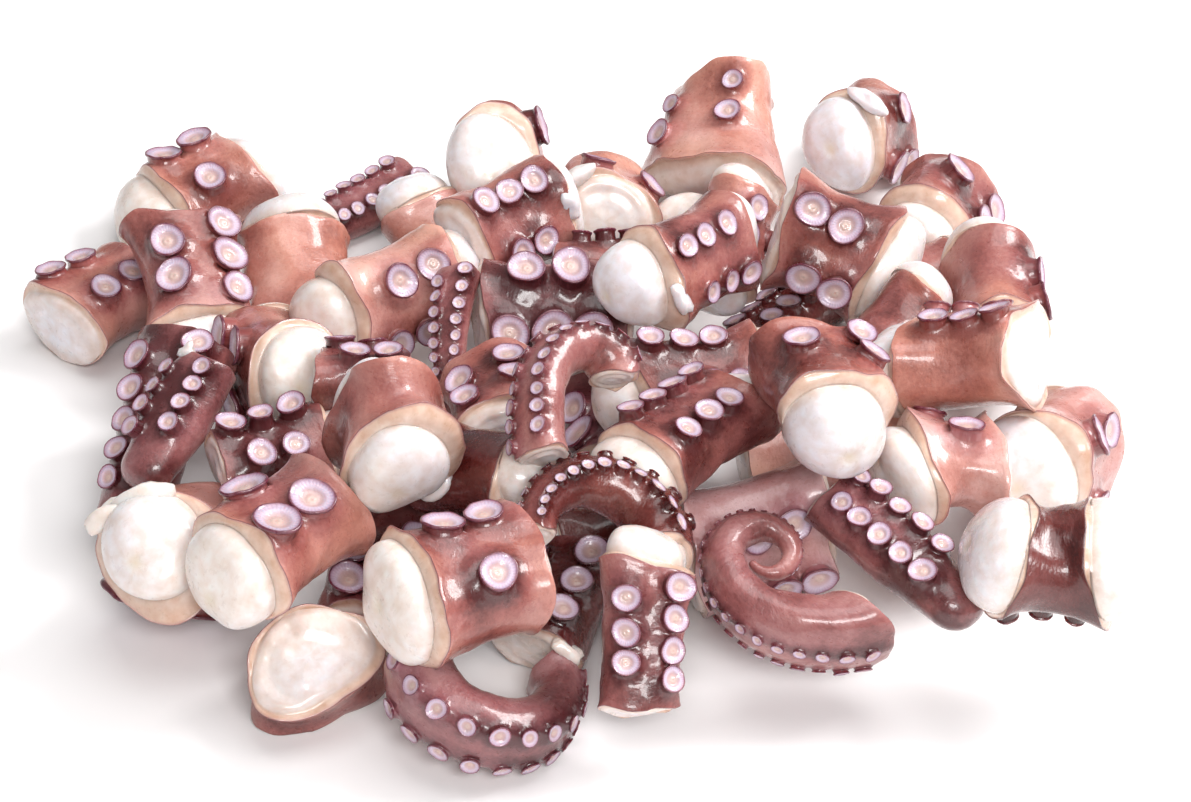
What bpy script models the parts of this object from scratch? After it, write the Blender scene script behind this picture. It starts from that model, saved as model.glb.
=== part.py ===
"""Cooked octopus: a heap of arms cut into short lengths, as it lies on a table.

Each length is one closed solid: a tube of skin drawn in at the waist, two rows of suckers
along one side, and a bulging core of white flesh at each cut end.  Thin lengths end in
a tip, and long ones curl up with their suckers outside.

The lengths are laid one after another, from the back of the heap to its front.  Each slides
down a slope towards the back until it touches the table or a length that lies there, and
it shifts a little to the side if it comes to lie much deeper there.

The table of lengths is in millimetres and degrees; MM turns it into metres.
"""

import math
from dataclasses import dataclass

import bmesh
import bpy
from mathutils import Matrix, Vector
from mathutils.bvhtree import BVHTree
from mathutils.geometry import delaunay_2d_cdt

MM = 0.001

# The cross-section of an arm.
DEPTH = 0.84  # depth over width
ORAL_FLAT = 0.12  # how much the side with the suckers is flattened
ROW_ANGLE = math.radians(33)  # from the middle of that side to each row of suckers
LUMPS = 0.035  # unevenness of the skin over its radius
SMALL_LUMPS = 0.021  # the same for the finer lumps
NEXT_PHASE = 2.4  # turns the lumps of each length away from those of the one before

# A sucker, over its own radius.
FOOT = 0.80  # foot of the stalk
STALK = 0.62  # height of the stalk
CUP = 0.34  # depth of the cup below the rim
LEAN = 0.35  # how far a sucker leans from its own side of the arm towards the middle
STEP_ALONG = 1.10  # from one sucker to the next in a row, over the sucker's width
EDGE_ROOM = 0.55  # from a cut edge to the first sucker, over the sucker's width

# A cut end.
CORE = 0.80  # width of the white core over the arm's
CORE_BACK = 0.07  # how far the core sits from the suckers, over the arm's width
BULGE = 0.30  # height of a bulging core over the arm's width
FLAT_BULGE = 0.05  # the same for a core that stayed flat
TIP_BULGE = 0.40  # the same for the closed tip of an arm

# How finely the solids are faceted.
AROUND = 8  # facets round the skin
FACET = 15 * MM  # length of a facet along the skin
CURL_FACET = 38  # degrees that a facet turns along a curled arm, at most
SUCKER_ROOM = 1.7  # no facet corner this near to a sucker, over the radius of its foot
SUCKER_SIDES = ((9 * MM, 6), (6 * MM, 5), (0.0, 4))  # for suckers wider than this
LEAST_SUCKER = 2.7 * MM  # narrower ones are left off the solid
SPINE_STEPS = 48

# How the lengths lie on each other.
GAP = 0.35 * MM  # between two that touch
SLOPE_ANGLE = math.radians(38)
SLOPE = Vector((0.0, -math.cos(SLOPE_ANGLE), math.sin(SLOPE_ANGLE)))  # up, towards the front
MIDDLE_HEIGHT = 15 * MM  # of a length that lies on the bare table
SLIDE_FROM = 120 * MM
SLIDE_STEP = 3 * MM
SLIDE_EXACT = 0.05 * MM
NUDGE = 2.0 * MM  # a length may shift this far to the side
NUDGES = 3  # times
NUDGE_WORTH = 2.5 * MM  # how much further down the slope it has to come for each
NUDGE_WAYS = 6

TONES = {
    "mauve": (0.42, 0.16, 0.14),
    "salmon": (0.58, 0.26, 0.21),
    "wine": (0.12, 0.025, 0.025),
}


@dataclass
class Arm:
    """One length of arm. It runs along its heading, seen from above from +X towards +Y, and
    pitch lifts its far end. Roll turns the suckers from the top to the right of the heading.
    """

    name: str
    x: float
    y: float
    heading: float
    pitch: float
    roll: float
    long: float
    wide: float
    near: str = "dome"  # the end that the heading leads away from
    far: str = "dome"  # the end that it leads to
    taper: float = 1.0  # width of the far end over the near end's
    waist: float = 0.10  # how far the skin is drawn in half way along
    curl: float = 0.0  # how far the arm turns away from its suckers
    tighten: float = 0.0  # how much of that turn is at the far end
    slant: tuple = (0.0, 0.0)  # how far each cut leans, towards the suckers at the far end
    sucker: float = 0.34  # width of a sucker over the arm's
    first: float = 0.0  # how much further from the near cut than usual the first sucker sits
    side: int = 1  # the row that it is in: 1 left of the heading, -1 right of it
    twist: float = 0.0  # how far both rows are turned round the arm from the outside of its curl
    spread: float = 1.0  # how far apart the suckers of a row sit, over the usual distance
    tone: str = "mauve"
    bare: bool = False  # a length with no suckers


# Each place is where the middle of the length would be if it lay on the bare table.
ARMS = [
    Arm("arm_a3", -27, 122, -90, 32, -80, 24, 33),
    Arm("arm_a8", 79, 138, -115, 22, -80, 24, 29),
    Arm("arm_a7", 36, 133, 80, 28, -24, 31, 45, near="flat", taper=0.66, sucker=0.19, first=5.5,
        spread=1.28, tone="salmon"),
    Arm("arm_a1", -112, 110, 38, 5, 5, 26, 30, tone="salmon"),
    Arm("arm_a2", -70, 99, -137, 0, -8, 52, 18, near="flat", far="tip", taper=0.6, sucker=0.31),
    Arm("arm_a10", 28, 88, -90, 45, 180, 18, 22),
    Arm("arm_a4", -42, 84, 125, 20, 180, 24, 26, near="flat", tone="salmon"),
    Arm("arm_a6", 10, 101, 90, -22, 26, 22, 30, near="flat", tone="salmon"),
    Arm("arm_a9", 98, 98, -110, 12, -50, 25, 29),
    Arm("arm_a11", 39, 84, 75, 25, 70, 28, 22, tone="wine"),
    Arm("arm_a5", -22, 92, 35, 5, 50, 27, 28, near="flat", sucker=0.27),
    Arm("arm_b6b", 1, 76, 10, 0, -60, 26, 18, near="flat", far="flat"),
    Arm("arm_b13", 88, 67, 20, 0, 180, 22, 20),
    Arm("arm_b1", -134, 57, 48, 0, 0, 26, 29, near="flat", sucker=0.30),
    Arm("arm_b9", 50, 51, -128, 0, 20, 38, 20, far="flat", taper=0.85, sucker=0.38, tone="wine"),
    Arm("arm_b3", -80, 63, 100, 22, 180, 32, 30, near="flat", tone="salmon"),
    Arm("arm_b8", 65, 79, -18, -16, 62, 26, 32, near="flat", sucker=0.29),
    Arm("arm_b6", -10, 51, 5, 0, 38, 38, 29, near="flat", far="flat", sucker=0.36, side=-1),
    Arm("arm_b7", 23, 70, -132, 5, -62, 29, 27, sucker=0.26),
    Arm("arm_b10", 107, 53, 90, 6, 85, 29, 31),
    Arm("arm_b11", 76, 40, 50, 12, 110, 27, 26),
    Arm("arm_b2", -104, 66, -75, -26, -12, 33, 29, near="flat", sucker=0.34),
    Arm("arm_b4", -52, 57, 33, 4, 70, 30, 31, sucker=0.30, first=4, side=-1),
    Arm("arm_b5", -37, 40, -100, -15, 12, 36, 12, near="flat", far="tip", taper=0.6, curl=50,
        sucker=0.34),
    Arm("arm_c3", -82, 23, -66, 26, 80, 28, 32),
    Arm("arm_c5b", -57, 21, 0, 0, -25, 22, 22, near="flat", far="flat", sucker=0.36),
    Arm("arm_c6", -26, 15, 100, -8, -15, 28, 25, near="flat"),
    Arm("arm_c8", 0, 0, 100, 0, -20, 28, 26, near="flat", sucker=0.40),
    Arm("arm_c9", 25, 21, 15, 0, 20, 30, 27, sucker=0.27),
    Arm("arm_c14", 117, -14, 62, -22, 80, 25, 35, sucker=0.28),
    Arm("arm_c12", 62, -6, 12, 0, 180, 42, 25, near="flat"),
    Arm("arm_b12", 93, 30, -14, 16, -30, 30, 32, far="flat", sucker=0.24, tone="salmon"),
    Arm("arm_c1", -109, 0, -105, -10, 6, 50, 26, near="flat", far="flat", taper=0.7, curl=25,
        sucker=0.33),
    Arm("arm_c2", -103, 8, -119, -24, 12, 29, 17, near="flat", far="tip", taper=1.1, sucker=0.30),
    Arm("arm_c4", -76, -5, 25, 0, 10, 26, 21, near="flat", sucker=0.36),
    Arm("arm_d10", 5, -43, 20, 0, 180, 28, 20, tone="wine"),
    Arm("arm_d4", -26, -15, -35, 20, 180, 26, 25, near="flat", tone="wine"),
    Arm("arm_d3", -53, -57, 85, 10, 12, 32, 27, near="flat", far="flat", sucker=0.36),
    Arm("arm_d9", -7, -66, -112, -12, 8, 29, 25, near="flat", far="flat", tone="wine"),
    Arm("arm_c7", -7, 19, 100, 30, -66, 50, 15.5, near="flat", far="flat", taper=0.85, waist=0.0,
        curl=190, tighten=0.8, sucker=0.27, twist=-26),
    Arm("arm_c10", 24, 1, 47, 0, -4, 32, 26, sucker=0.27, first=-0.5),
    Arm("arm_c5", -46, 0, -70, -10, -75, 13, 35, waist=0.14, sucker=0.26),
    Arm("arm_d12", 37, -37, 20, 5, 82, 35, 33, near="flat", far="flat", sucker=0.27, tone="salmon"),
    Arm("arm_c11", 52, 17, -74, 4, -16, 23, 31, sucker=0.29),
    Arm("arm_c13", 86, -8, 10, -8, -28, 19, 31, far="flat", waist=0.18, sucker=0.30),
    Arm("arm_d5", -1, -25, 92, 25, 110, 50, 20, far="flat", taper=0.55, waist=0.0, curl=180,
        sucker=0.24, twist=52, tone="wine"),
    Arm("arm_d14", 70, -40, -47, -10, 0, 41, 16, near="flat", far="tip", taper=1.2, sucker=0.36),
    Arm("arm_d1", -101, -50, -108, 34, 170, 29, 34, near="flat"),
    Arm("arm_d7", -63.5, -89, -90, 62, -150, 14, 31, near="flat", far="flat", bare=True),
    Arm("arm_d2", -73, -38, 50, 0, -8, 29, 31, far="flat", sucker=0.36, first=-0.4, side=-1),
    Arm("arm_d8", -22, -105, -85, 0, 72, 60, 20.5, near="flat", far="flat", taper=0.7, waist=0.0,
        curl=200, sucker=0.28),
    Arm("arm_d15", 102, -49, -5, 0, 192, 20, 30, waist=0.12, slant=(-20, 20), sucker=0.18, tone="wine"),
    Arm("arm_d11", 12, -75, -95, -45, -15, 33, 22, far="flat", taper=0.85, sucker=0.33),
    Arm("arm_d13", 37, -57, 200, 0, -110, 82, 22.5, near="flat", far="tip", taper=0.15, waist=0.0,
        curl=430, tighten=0.67, slant=(-35, 0), sucker=0.19, twist=22),
    Arm("arm_d6", -27, -56, 30, -6, 8, 28, 33, far="flat", sucker=0.31, first=4),
]


class Spine:
    """The middle line of a length, in its own frame, with the directions along the arm and
    towards the suckers at each point."""

    def __init__(self, arm):
        self.long = arm.long * MM
        self.turn = math.radians(arm.curl)
        self.tighten = arm.tighten
        step = self.long / SPINE_STEPS
        self.points = [Vector((0.0, 0.0, 0.0))]
        for i in range(SPINE_STEPS):
            along = self.along((i + 0.5) / SPINE_STEPS)
            self.points.append(self.points[-1] + along * step)
        middle = sum(self.points, Vector()) / len(self.points)
        self.points = [p - middle for p in self.points]

    def angle(self, t):
        return self.turn * (t * (1 - self.tighten) + t ** 3 * self.tighten)

    def along(self, t):
        a = self.angle(t)
        return Vector((math.cos(a), 0.0, -math.sin(a)))

    def oral(self, t):
        a = self.angle(t)
        return Vector((math.sin(a), 0.0, math.cos(a)))

    def point(self, t):
        place = min(max(t, 0.0), 1.0) * SPINE_STEPS
        i = min(int(place), SPINE_STEPS - 1)
        inside = self.points[i].lerp(self.points[i + 1], place - i)
        beyond = t - min(max(t, 0.0), 1.0)
        return inside + self.along(t) * beyond * self.long


class Skin:
    """The skin of a length, as a surface over t along the arm and an angle round it."""

    def __init__(self, arm, number):
        self.arm = arm
        self.spine = Spine(arm)
        self.phase = number * NEXT_PHASE

    def half_width(self, t):
        arm = self.arm
        drawn_in = 1 - arm.waist * math.sin(math.pi * min(max(t, 0.0), 1.0))
        return 0.5 * arm.wide * MM * (1 + (arm.taper - 1) * t) * drawn_in

    def across(self, t, angle):
        """Place in the cross-section: sideways, and towards the suckers."""
        lump = 1 + LUMPS * math.sin(2 * angle + self.phase + 5 * t)
        lump += SMALL_LUMPS * math.sin(3 * angle - 2 * self.phase - 4 * t)
        half = self.half_width(t) * lump
        up = math.cos(angle)
        return half * math.sin(angle), half * DEPTH * (up - ORAL_FLAT * max(up, 0.0) ** 2)

    def place(self, t, angle):
        side, up = self.across(t, angle)
        near, far = (math.tan(math.radians(s)) for s in self.arm.slant)
        lean = (near * (1 - t) + far * t) * up / self.spine.long
        at = t + lean
        return self.spine.point(at) + self.spine.oral(at) * up + Vector((0.0, side, 0.0))

    def sucker_frame(self, t, angle):
        """Foot of a sucker and its directions: along the arm, across it and outwards."""
        small = 0.01
        foot = self.place(t, angle)
        along = (self.place(t + small, angle) - self.place(t - small, angle)).normalized()
        round_it = (self.place(t, angle + small) - self.place(t, angle - small)).normalized()
        out = along.cross(round_it).normalized()
        out = out.lerp(self.spine.oral(t), LEAN).normalized()
        across = out.cross(along).normalized()
        return foot, across.cross(out), across, out


def sucker_places(arm):
    """Where the suckers sit, as (t, angle, width): two rows that take turns along the arm."""
    places = []
    along, side = 0.0, arm.side
    while not arm.bare:
        width = arm.sucker * arm.wide * (1 + (arm.taper - 1) * along / arm.long)
        if not places:
            along = EDGE_ROOM * width + arm.first
        if along > arm.long - EDGE_ROOM * width or width * MM < LEAST_SUCKER:
            break
        places.append((along / arm.long, side * ROW_ANGLE + math.radians(arm.twist), width * MM))
        along += 0.5 * STEP_ALONG * arm.spread * width
        side = -side
    return places


def cut_end(mesh, loop, kind, wide, back):
    """Closes a loop of skin with flesh. back points away from the suckers."""
    middle = sum((v.co for v in loop), Vector()) / len(loop)
    facing = Vector()
    for a, b in zip(loop, loop[1:] + loop[:1]):
        facing += (a.co - middle).cross(b.co - middle)
    facing.normalize()
    inner = sum((v.co for v in mesh.verts), Vector()) / len(mesh.verts)
    if facing.dot(middle - inner) < 0:
        facing = -facing
    high = wide * {"dome": BULGE, "flat": FLAT_BULGE, "tip": TIP_BULGE}[kind]
    centre = middle + back * CORE_BACK * wide
    if kind == "dome":
        ring = [mesh.verts.new(centre + (v.co - middle) * CORE + facing * high * 0.5) for v in loop]
        for i, v in enumerate(loop):
            j = (i + 1) % len(loop)
            mesh.faces.new((v, loop[j], ring[j], ring[i]))
        loop = ring
    top = mesh.verts.new(centre + facing * high)
    for a, b in zip(loop, loop[1:] + loop[:1]):
        mesh.faces.new((a, b, top))


def arm_mesh(arm, number):
    """The closed solid of one length, in its own frame."""
    skin = Skin(arm, number)
    long = arm.long * MM
    round_width = math.pi * arm.wide * MM * (1 + arm.taper) / 2 * 0.92
    rows = max(2, round(long / FACET))
    rows = max(rows, round(arm.curl / CURL_FACET))

    flat = []  # places on the unrolled skin, as (t, share of the way round)
    for i in range(rows + 1):
        for j in range(AROUND + 1):
            flat.append((i / rows, j / AROUND - 0.5))
    border = {k for k, (t, s) in enumerate(flat) if t in (0.0, 1.0) or abs(s) == 0.5}

    suckers = []
    for t, angle, width in sucker_places(arm):
        reach = 0.5 * width * FOOT
        here = round_width * skin.half_width(t) / (0.5 * arm.wide * MM * (1 + arm.taper) / 2)
        suckers.append((t, angle, width, reach / long, reach / here))

    def near_sucker(place):
        for t, angle, _, a, b in suckers:
            if math.hypot((place[0] - t) / a, (place[1] - angle / math.tau) / b) < SUCKER_ROOM:
                return True
        return False

    keep = [p for k, p in enumerate(flat) if k in border or not near_sucker(p)]
    rings = []
    for t, angle, width, a, b in suckers:
        sides = next(n for least, n in SUCKER_SIDES if width > least)
        rings.append(list(range(len(keep), len(keep) + sides)))
        for k in range(sides):
            turn = math.tau * (k + 0.5) / sides
            keep.append((t + a * math.cos(turn), angle / math.tau + b * math.sin(turn)))
    scaled = [Vector((t * long, s * round_width)) for t, s in keep]
    _, _, faces, sources, _, under = delaunay_2d_cdt(scaled, [], rings, 0, 1e-7)

    mesh = bmesh.new()
    placed = [keep[source[0]] for source in sources]
    made = {p: mesh.verts.new(skin.place(p[0], p[1] * math.tau)) for p in placed if p[1] < 0.5}
    verts = [made[t, -0.5 if s == 0.5 else s] for t, s in placed]
    for face, ring in zip(faces, under):
        if not ring:
            mesh.faces.new([verts[k] for k in face])

    where = {source[0]: verts[k] for k, source in enumerate(sources)}
    for (t, angle, width, a, b), ring in zip(suckers, rings):
        foot, along, across, out = skin.sucker_frame(t, angle)
        sides = len(ring)
        rim = []
        for k in range(sides):
            turn = math.tau * (k + 0.5) / sides
            spoke = along * math.cos(turn) + across * math.sin(turn)
            rim.append(mesh.verts.new(foot + spoke * width / 2 + out * STALK * width / 2))
        pit = mesh.verts.new(foot + out * (STALK - CUP) * width / 2)
        for k in range(sides):
            n = (k + 1) % sides
            mesh.faces.new((where[ring[k]], where[ring[n]], rim[n], rim[k]))
            mesh.faces.new((rim[k], rim[n], pit))

    for t, kind in ((0.0, arm.near), (1.0, arm.far)):
        loop = [made[t, j / AROUND - 0.5] for j in range(AROUND)]
        wide = 2 * skin.half_width(t)
        cut_end(mesh, loop, kind, wide, -skin.spine.oral(t))

    bmesh.ops.triangulate(mesh, faces=mesh.faces)
    bmesh.ops.recalc_face_normals(mesh, faces=mesh.faces)
    return mesh


def turned(arm):
    """How a length lies: its roll, then its pitch, then its heading."""
    return (
        Matrix.Rotation(math.radians(arm.heading), 4, "Z")
        @ Matrix.Rotation(math.radians(-arm.pitch), 4, "Y")
        @ Matrix.Rotation(math.radians(arm.roll), 4, "X")
    )


class Heap:
    """The lengths that already lie on the table."""

    def __init__(self):
        self.laid = []

    def touches(self, verts, faces, shift):
        moved = [v + shift for v in verts]
        low = [min(v[i] for v in moved) for i in range(3)]
        high = [max(v[i] for v in moved) for i in range(3)]
        if low[2] < 0:
            return True
        tree = None
        for other, other_low, other_high in self.laid:
            if all(low[i] < other_high[i] and high[i] > other_low[i] for i in range(3)):
                tree = tree or BVHTree.FromPolygons(moved, faces)
                if tree.overlap(other):
                    return True
        return False

    def slide(self, verts, faces, start):
        """How far back up the slope from its start a length comes to rest."""
        far = SLIDE_FROM
        while not self.touches(verts, faces, start + SLOPE * far):
            far -= SLIDE_STEP
        clear, stuck = far + SLIDE_STEP, far
        while clear - stuck > SLIDE_EXACT:
            middle = (clear + stuck) / 2
            if self.touches(verts, faces, start + SLOPE * middle):
                stuck = middle
            else:
                clear = middle
        return clear

    def lay(self, mesh, x, y):
        """Lays a length and says where."""
        fat = [v.co + v.normal * GAP for v in mesh.verts]
        faces = [[v.index for v in f.verts] for f in mesh.faces]
        start = Vector((x, y, MIDDLE_HEIGHT))
        best, best_far = start, self.slide(fat, faces, start)
        for reach in range(1, NUDGES + 1):
            for k in range(NUDGE_WAYS):
                turn = math.tau * k / NUDGE_WAYS
                aside = Vector((math.cos(turn), math.sin(turn), 0.0)) * reach * NUDGE
                far = self.slide(fat, faces, start + aside)
                if far < best_far - NUDGE_WORTH * reach:
                    best, best_far = start + aside, far
        best = best + SLOPE * best_far
        verts = [v.co + best for v in mesh.verts]
        low = [min(v[i] for v in verts) for i in range(3)]
        high = [max(v[i] for v in verts) for i in range(3)]
        self.laid.append((BVHTree.FromPolygons(verts, faces), low, high))
        return best


def material(name, colour, roughness):
    made = bpy.data.materials.new(name)
    made.use_nodes = True
    shader = made.node_tree.nodes["Principled BSDF"]
    shader.inputs["Base Color"].default_value = (*colour, 1.0)
    shader.inputs["Roughness"].default_value = roughness
    shader.inputs["Metallic"].default_value = 0.0
    made.diffuse_color = (*colour, 1.0)
    return made


def build():
    for item in list(bpy.data.objects):
        bpy.data.objects.remove(item)
    collection = bpy.data.collections.new("cooked_octopus")
    bpy.context.scene.collection.children.link(collection)

    heap = Heap()
    objects = []
    for number, arm in enumerate(ARMS):
        mesh = arm_mesh(arm, number)
        mesh.transform(turned(arm))
        mesh.normal_update()
        mesh.verts.index_update()
        place = heap.lay(mesh, arm.x * MM, arm.y * MM)
        data = bpy.data.meshes.new(arm.name)
        mesh.to_mesh(data)
        mesh.free()
        data.shade_smooth()
        data.set_sharp_from_angle(angle=math.radians(50))
        data.materials.append(material(arm.name + "_skin", TONES[arm.tone], 0.35))
        made = bpy.data.objects.new(arm.name, data)
        made.location = place
        collection.objects.link(made)
        objects.append(made)

    # The origin is below the middle of the heap, on the table.
    corners = [o.matrix_basis @ v.co for o in objects for v in o.data.vertices]
    middle = Vector([(min(c[i] for c in corners) + max(c[i] for c in corners)) / 2 for i in (0, 1)])
    floor = min(c.z for c in corners)
    for made in objects:
        made.location -= Vector((middle.x, middle.y, floor))


build()
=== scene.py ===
"""Cooked octopus: the looks of a heap of boiled arms cut into short lengths.

Every length takes the place of its plain solid in the heap. Sizes of the flesh are in
millimetres, and those of the table, the lights and the camera in metres.
"""

import math
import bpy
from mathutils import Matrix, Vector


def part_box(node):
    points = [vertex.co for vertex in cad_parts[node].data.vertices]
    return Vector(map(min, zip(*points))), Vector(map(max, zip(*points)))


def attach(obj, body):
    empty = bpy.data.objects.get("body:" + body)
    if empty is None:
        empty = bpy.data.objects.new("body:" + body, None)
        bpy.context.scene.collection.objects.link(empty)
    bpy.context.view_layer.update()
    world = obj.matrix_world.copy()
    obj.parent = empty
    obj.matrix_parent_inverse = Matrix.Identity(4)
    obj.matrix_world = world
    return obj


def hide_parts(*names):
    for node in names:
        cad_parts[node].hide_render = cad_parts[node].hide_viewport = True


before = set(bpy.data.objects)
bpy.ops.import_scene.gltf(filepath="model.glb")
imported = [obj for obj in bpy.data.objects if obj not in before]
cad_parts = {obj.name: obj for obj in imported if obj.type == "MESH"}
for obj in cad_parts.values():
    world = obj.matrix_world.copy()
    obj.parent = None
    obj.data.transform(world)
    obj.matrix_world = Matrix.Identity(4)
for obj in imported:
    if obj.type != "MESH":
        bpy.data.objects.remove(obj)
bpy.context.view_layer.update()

import zlib

import bpy
import numpy as np
from mathutils import Matrix, Vector
from mathutils.geometry import delaunay_2d_cdt

# ---------------------------------------------------------------------------------------
# Thick lengths with a bulging cut at both ends.
# Boiling shrinks the skin to a waist and drives the white muscle out of both cuts, so each
# is a tube of skin with two rows of suckers and an egg of flesh at each end.
# ---------------------------------------------------------------------------------------
def waves(points, size, rng, count=9):
    """Soft unevenness of about the given size, between -1 and 1 or so, at each point."""
    ways = rng.normal(size=(count, 3))
    ways /= np.linalg.norm(ways, axis=1)[:, None]
    ways *= (math.tau / size * rng.uniform(0.65, 1.5, count))[:, None]
    return np.sin(points @ ways.T + rng.uniform(0, math.tau, count)).sum(1) / math.sqrt(count)


def smooth(x):
    x = np.clip(x, 0.0, 1.0)
    return x * x * (3 - 2 * x)


def unit(v):
    return v / np.maximum(np.linalg.norm(v, axis=-1, keepdims=True), 1e-9)


def saw(x):
    """A wave of straight lines between -1 and 1."""
    return np.arcsin(np.sin(x)) * 2 / math.pi


DEPTH = 0.84  # depth of an arm over its width
ORAL_FLAT = 0.12  # how much the side with the suckers is flattened
LUMPS = 0.035  # unevenness of the skin over its radius
LINE_STEPS = 64
CORNER_REACH = 3.5  # how far from a cut the skin is still pulled into corners
CORNERS = 0.03  # height of those corners over the width of the arm
WAVE_REACH = 5.0  # how far from a cut the skin still follows its wavy edge
WIDE_ENOUGH = 26  # arms at least this wide have the full wave
TIP_START, TIP_SHARE, TIP_NARROWS = 0.5, 0.6, 0.22  # where a thin end narrows, and how far


class Arm:
    """A length of arm along its middle line, which starts along X with the suckers up.

    Heading, pitch and roll turn it in the heap. Curl bends it, and tighten moves the bend
    towards its far end. Slant tilts its cuts. Sucker is the width of a sucker over the
    arm's, first is more room before the first one, side is the row that it sits in, twist
    turns the rows round the arm, spread is how far apart and stalk how tall the suckers
    stand. Core is the breadth of the white flesh, back how far it lies away from the
    suckers, bulge how far it swells out at each end, and flare how ragged the edges of
    the skin are. Light and purple shift the colour of the skin. A shred is the end that it
    hangs at, its place round the arm and its size. Angles are in degrees.
    """

    def __init__(self, node, heading, pitch, roll, long, wide, near="dome", far="dome",
                 taper=1.0, waist=0.10, curl=0.0, tighten=0.0, slant=(0.0, 0.0),
                 sucker=0.34, first=0.0, side=1, twist=0.0, spread=1.0, bare=False,
                 stalk=0.5, core=0.89, back=0.055, bulge=(0.36, 0.36), flare=1.7,
                 light=0.0, purple=0.0, shreds=()):
        self.node = node
        self.turned = (Matrix.Rotation(math.radians(heading), 3, "Z")
                       @ Matrix.Rotation(math.radians(-pitch), 3, "Y")
                       @ Matrix.Rotation(math.radians(roll), 3, "X"))
        self.long, self.wide, self.taper, self.waist = long, wide, taper, waist
        self.ends = (near, far)
        self.turn, self.tighten = math.radians(curl), tighten
        self.slant = [math.tan(math.radians(each)) for each in slant]
        self.sucker, self.first, self.side, self.bare = sucker, first, side, bare
        self.twist, self.spread = math.radians(twist), spread
        self.stalk, self.core, self.back, self.bulge, self.flare = stalk, core, back, bulge, flare
        self.light, self.purple, self.shreds = light, purple, shreds
        self.rng = np.random.default_rng(zlib.crc32(node.encode()))
        self.phase = self.rng.uniform(0, math.tau, 4)  # sets this arm's own lumps and edges
        middles = (np.arange(LINE_STEPS) + 0.5) / LINE_STEPS
        line = np.vstack([np.zeros(3), np.cumsum(self.along(middles), axis=0) * long / LINE_STEPS])
        self.line = line - line.mean(0)
        self.shares = np.linspace(0, 1, LINE_STEPS + 1)

    def angle(self, t):
        return self.turn * (t * (1 - self.tighten) + t ** 3 * self.tighten)

    def along(self, t):
        a = self.angle(np.asarray(t, float))
        return np.stack([np.cos(a), 0 * a, -np.sin(a)], -1)

    def oral(self, t):
        """The way that the side with the suckers faces."""
        a = self.angle(np.asarray(t, float))
        return np.stack([np.sin(a), 0 * a, np.cos(a)], -1)

    def middle(self, t):
        inside = np.clip(t, 0, 1)
        on = np.stack([np.interp(inside, self.shares, self.line[:, i]) for i in range(3)], -1)
        return on + self.along(t) * (t - inside)[..., None] * self.long

    def half_width(self, t):
        """Half of the width, with the waist that boiling gives the skin."""
        drawn_in = 1 - self.waist * np.sin(np.pi * np.clip(t, 0, 1))
        if self.ends[1] == "tip":
            drawn_in = 1 - TIP_NARROWS * smooth((t - TIP_START) / TIP_SHARE)
        return 0.5 * self.wide * (1 + (self.taper - 1) * t) * drawn_in

    def from_cuts(self, t, reach):
        """1 at each cut edge of the skin, less further from it."""
        near = np.exp(-np.maximum(t, 0) * self.long / reach) * (self.ends[0] != "tip")
        far = np.exp(-np.maximum(1 - t, 0) * self.long / reach) * (self.ends[1] != "tip")
        return near, far

    def section(self, t, a):
        """Sideways and up from the middle line to the skin."""
        near, far = self.from_cuts(t, CORNER_REACH)
        lump = LUMPS * np.sin(2 * a + self.phase[0] + 5 * t)
        lump += 0.6 * LUMPS * np.sin(3 * a + self.phase[1] - 4 * t)
        corners = 0.5 + 0.6 * saw(2 * a + self.phase[3]) + 0.4 * saw(3 * a + self.phase[2])
        drawn_out = CORNERS * self.wide * self.flare * corners * (near + far)
        half = self.half_width(t) * (1 + lump) + drawn_out
        up = np.cos(a)
        return half * np.sin(a), half * DEPTH * (up - ORAL_FLAT * np.maximum(up, 0) ** 2)

    def cut_wave(self, t, a):
        """How far the cut edges of the skin reach past a clean cut: straight, then a corner."""
        p = self.phase
        near, far = self.from_cuts(t, WAVE_REACH)
        near *= 0.9 * saw(a + p[0]) + 0.7 * saw(2 * a + p[1]) + 0.35 * saw(5 * a + p[2])
        far *= 0.9 * saw(a + p[3]) + 0.7 * saw(2 * a - p[2]) + 0.35 * saw(5 * a - p[0])
        return self.flare * min(1.0, self.wide / WIDE_ENOUGH) * (far - near) / self.long

    def skin(self, t, a):
        """The place on the skin at share t of the length and angle a round it."""
        side, up = self.section(t, a)
        lean = (self.slant[0] * (1 - t) + self.slant[1] * t) * up / self.long
        at = t + self.cut_wave(t, a) + lean
        place = self.middle(at) + self.oral(at) * up[..., None]
        place[..., 1] += side
        return place

    def outward(self, t, a):
        """The ways out of the skin and along it."""
        small = 0.01
        along = self.skin(t + small, a) - self.skin(t - small, a)
        round_it = self.skin(t, a + small) - self.skin(t, a - small)
        return unit(np.cross(along, round_it)), unit(along)


ROW_ANGLE = math.radians(33)  # from the middle of the side with the suckers to each row
STEP_ALONG = 1.10  # from one sucker to the next in a row, over its width
EDGE_ROOM = 0.55  # from a cut to the first sucker, over its width
LEAST_SUCKER = 1.0


def sucker_places(arm):
    """Where the suckers sit, as (t, angle, width): two rows that take turns along the arm."""
    places = []
    along, side = 0.0, arm.side
    while not arm.bare:
        width = arm.sucker * arm.wide * (1 + (arm.taper - 1) * along / arm.long)
        if not places:
            along = EDGE_ROOM * width + arm.first
        if along > arm.long - EDGE_ROOM * width or width < LEAST_SUCKER:
            break
        places.append((along / arm.long, side * ROW_ANGLE + arm.twist, width))
        along += 0.5 * STEP_ALONG * arm.spread * width
        side = -side
    return places


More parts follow.
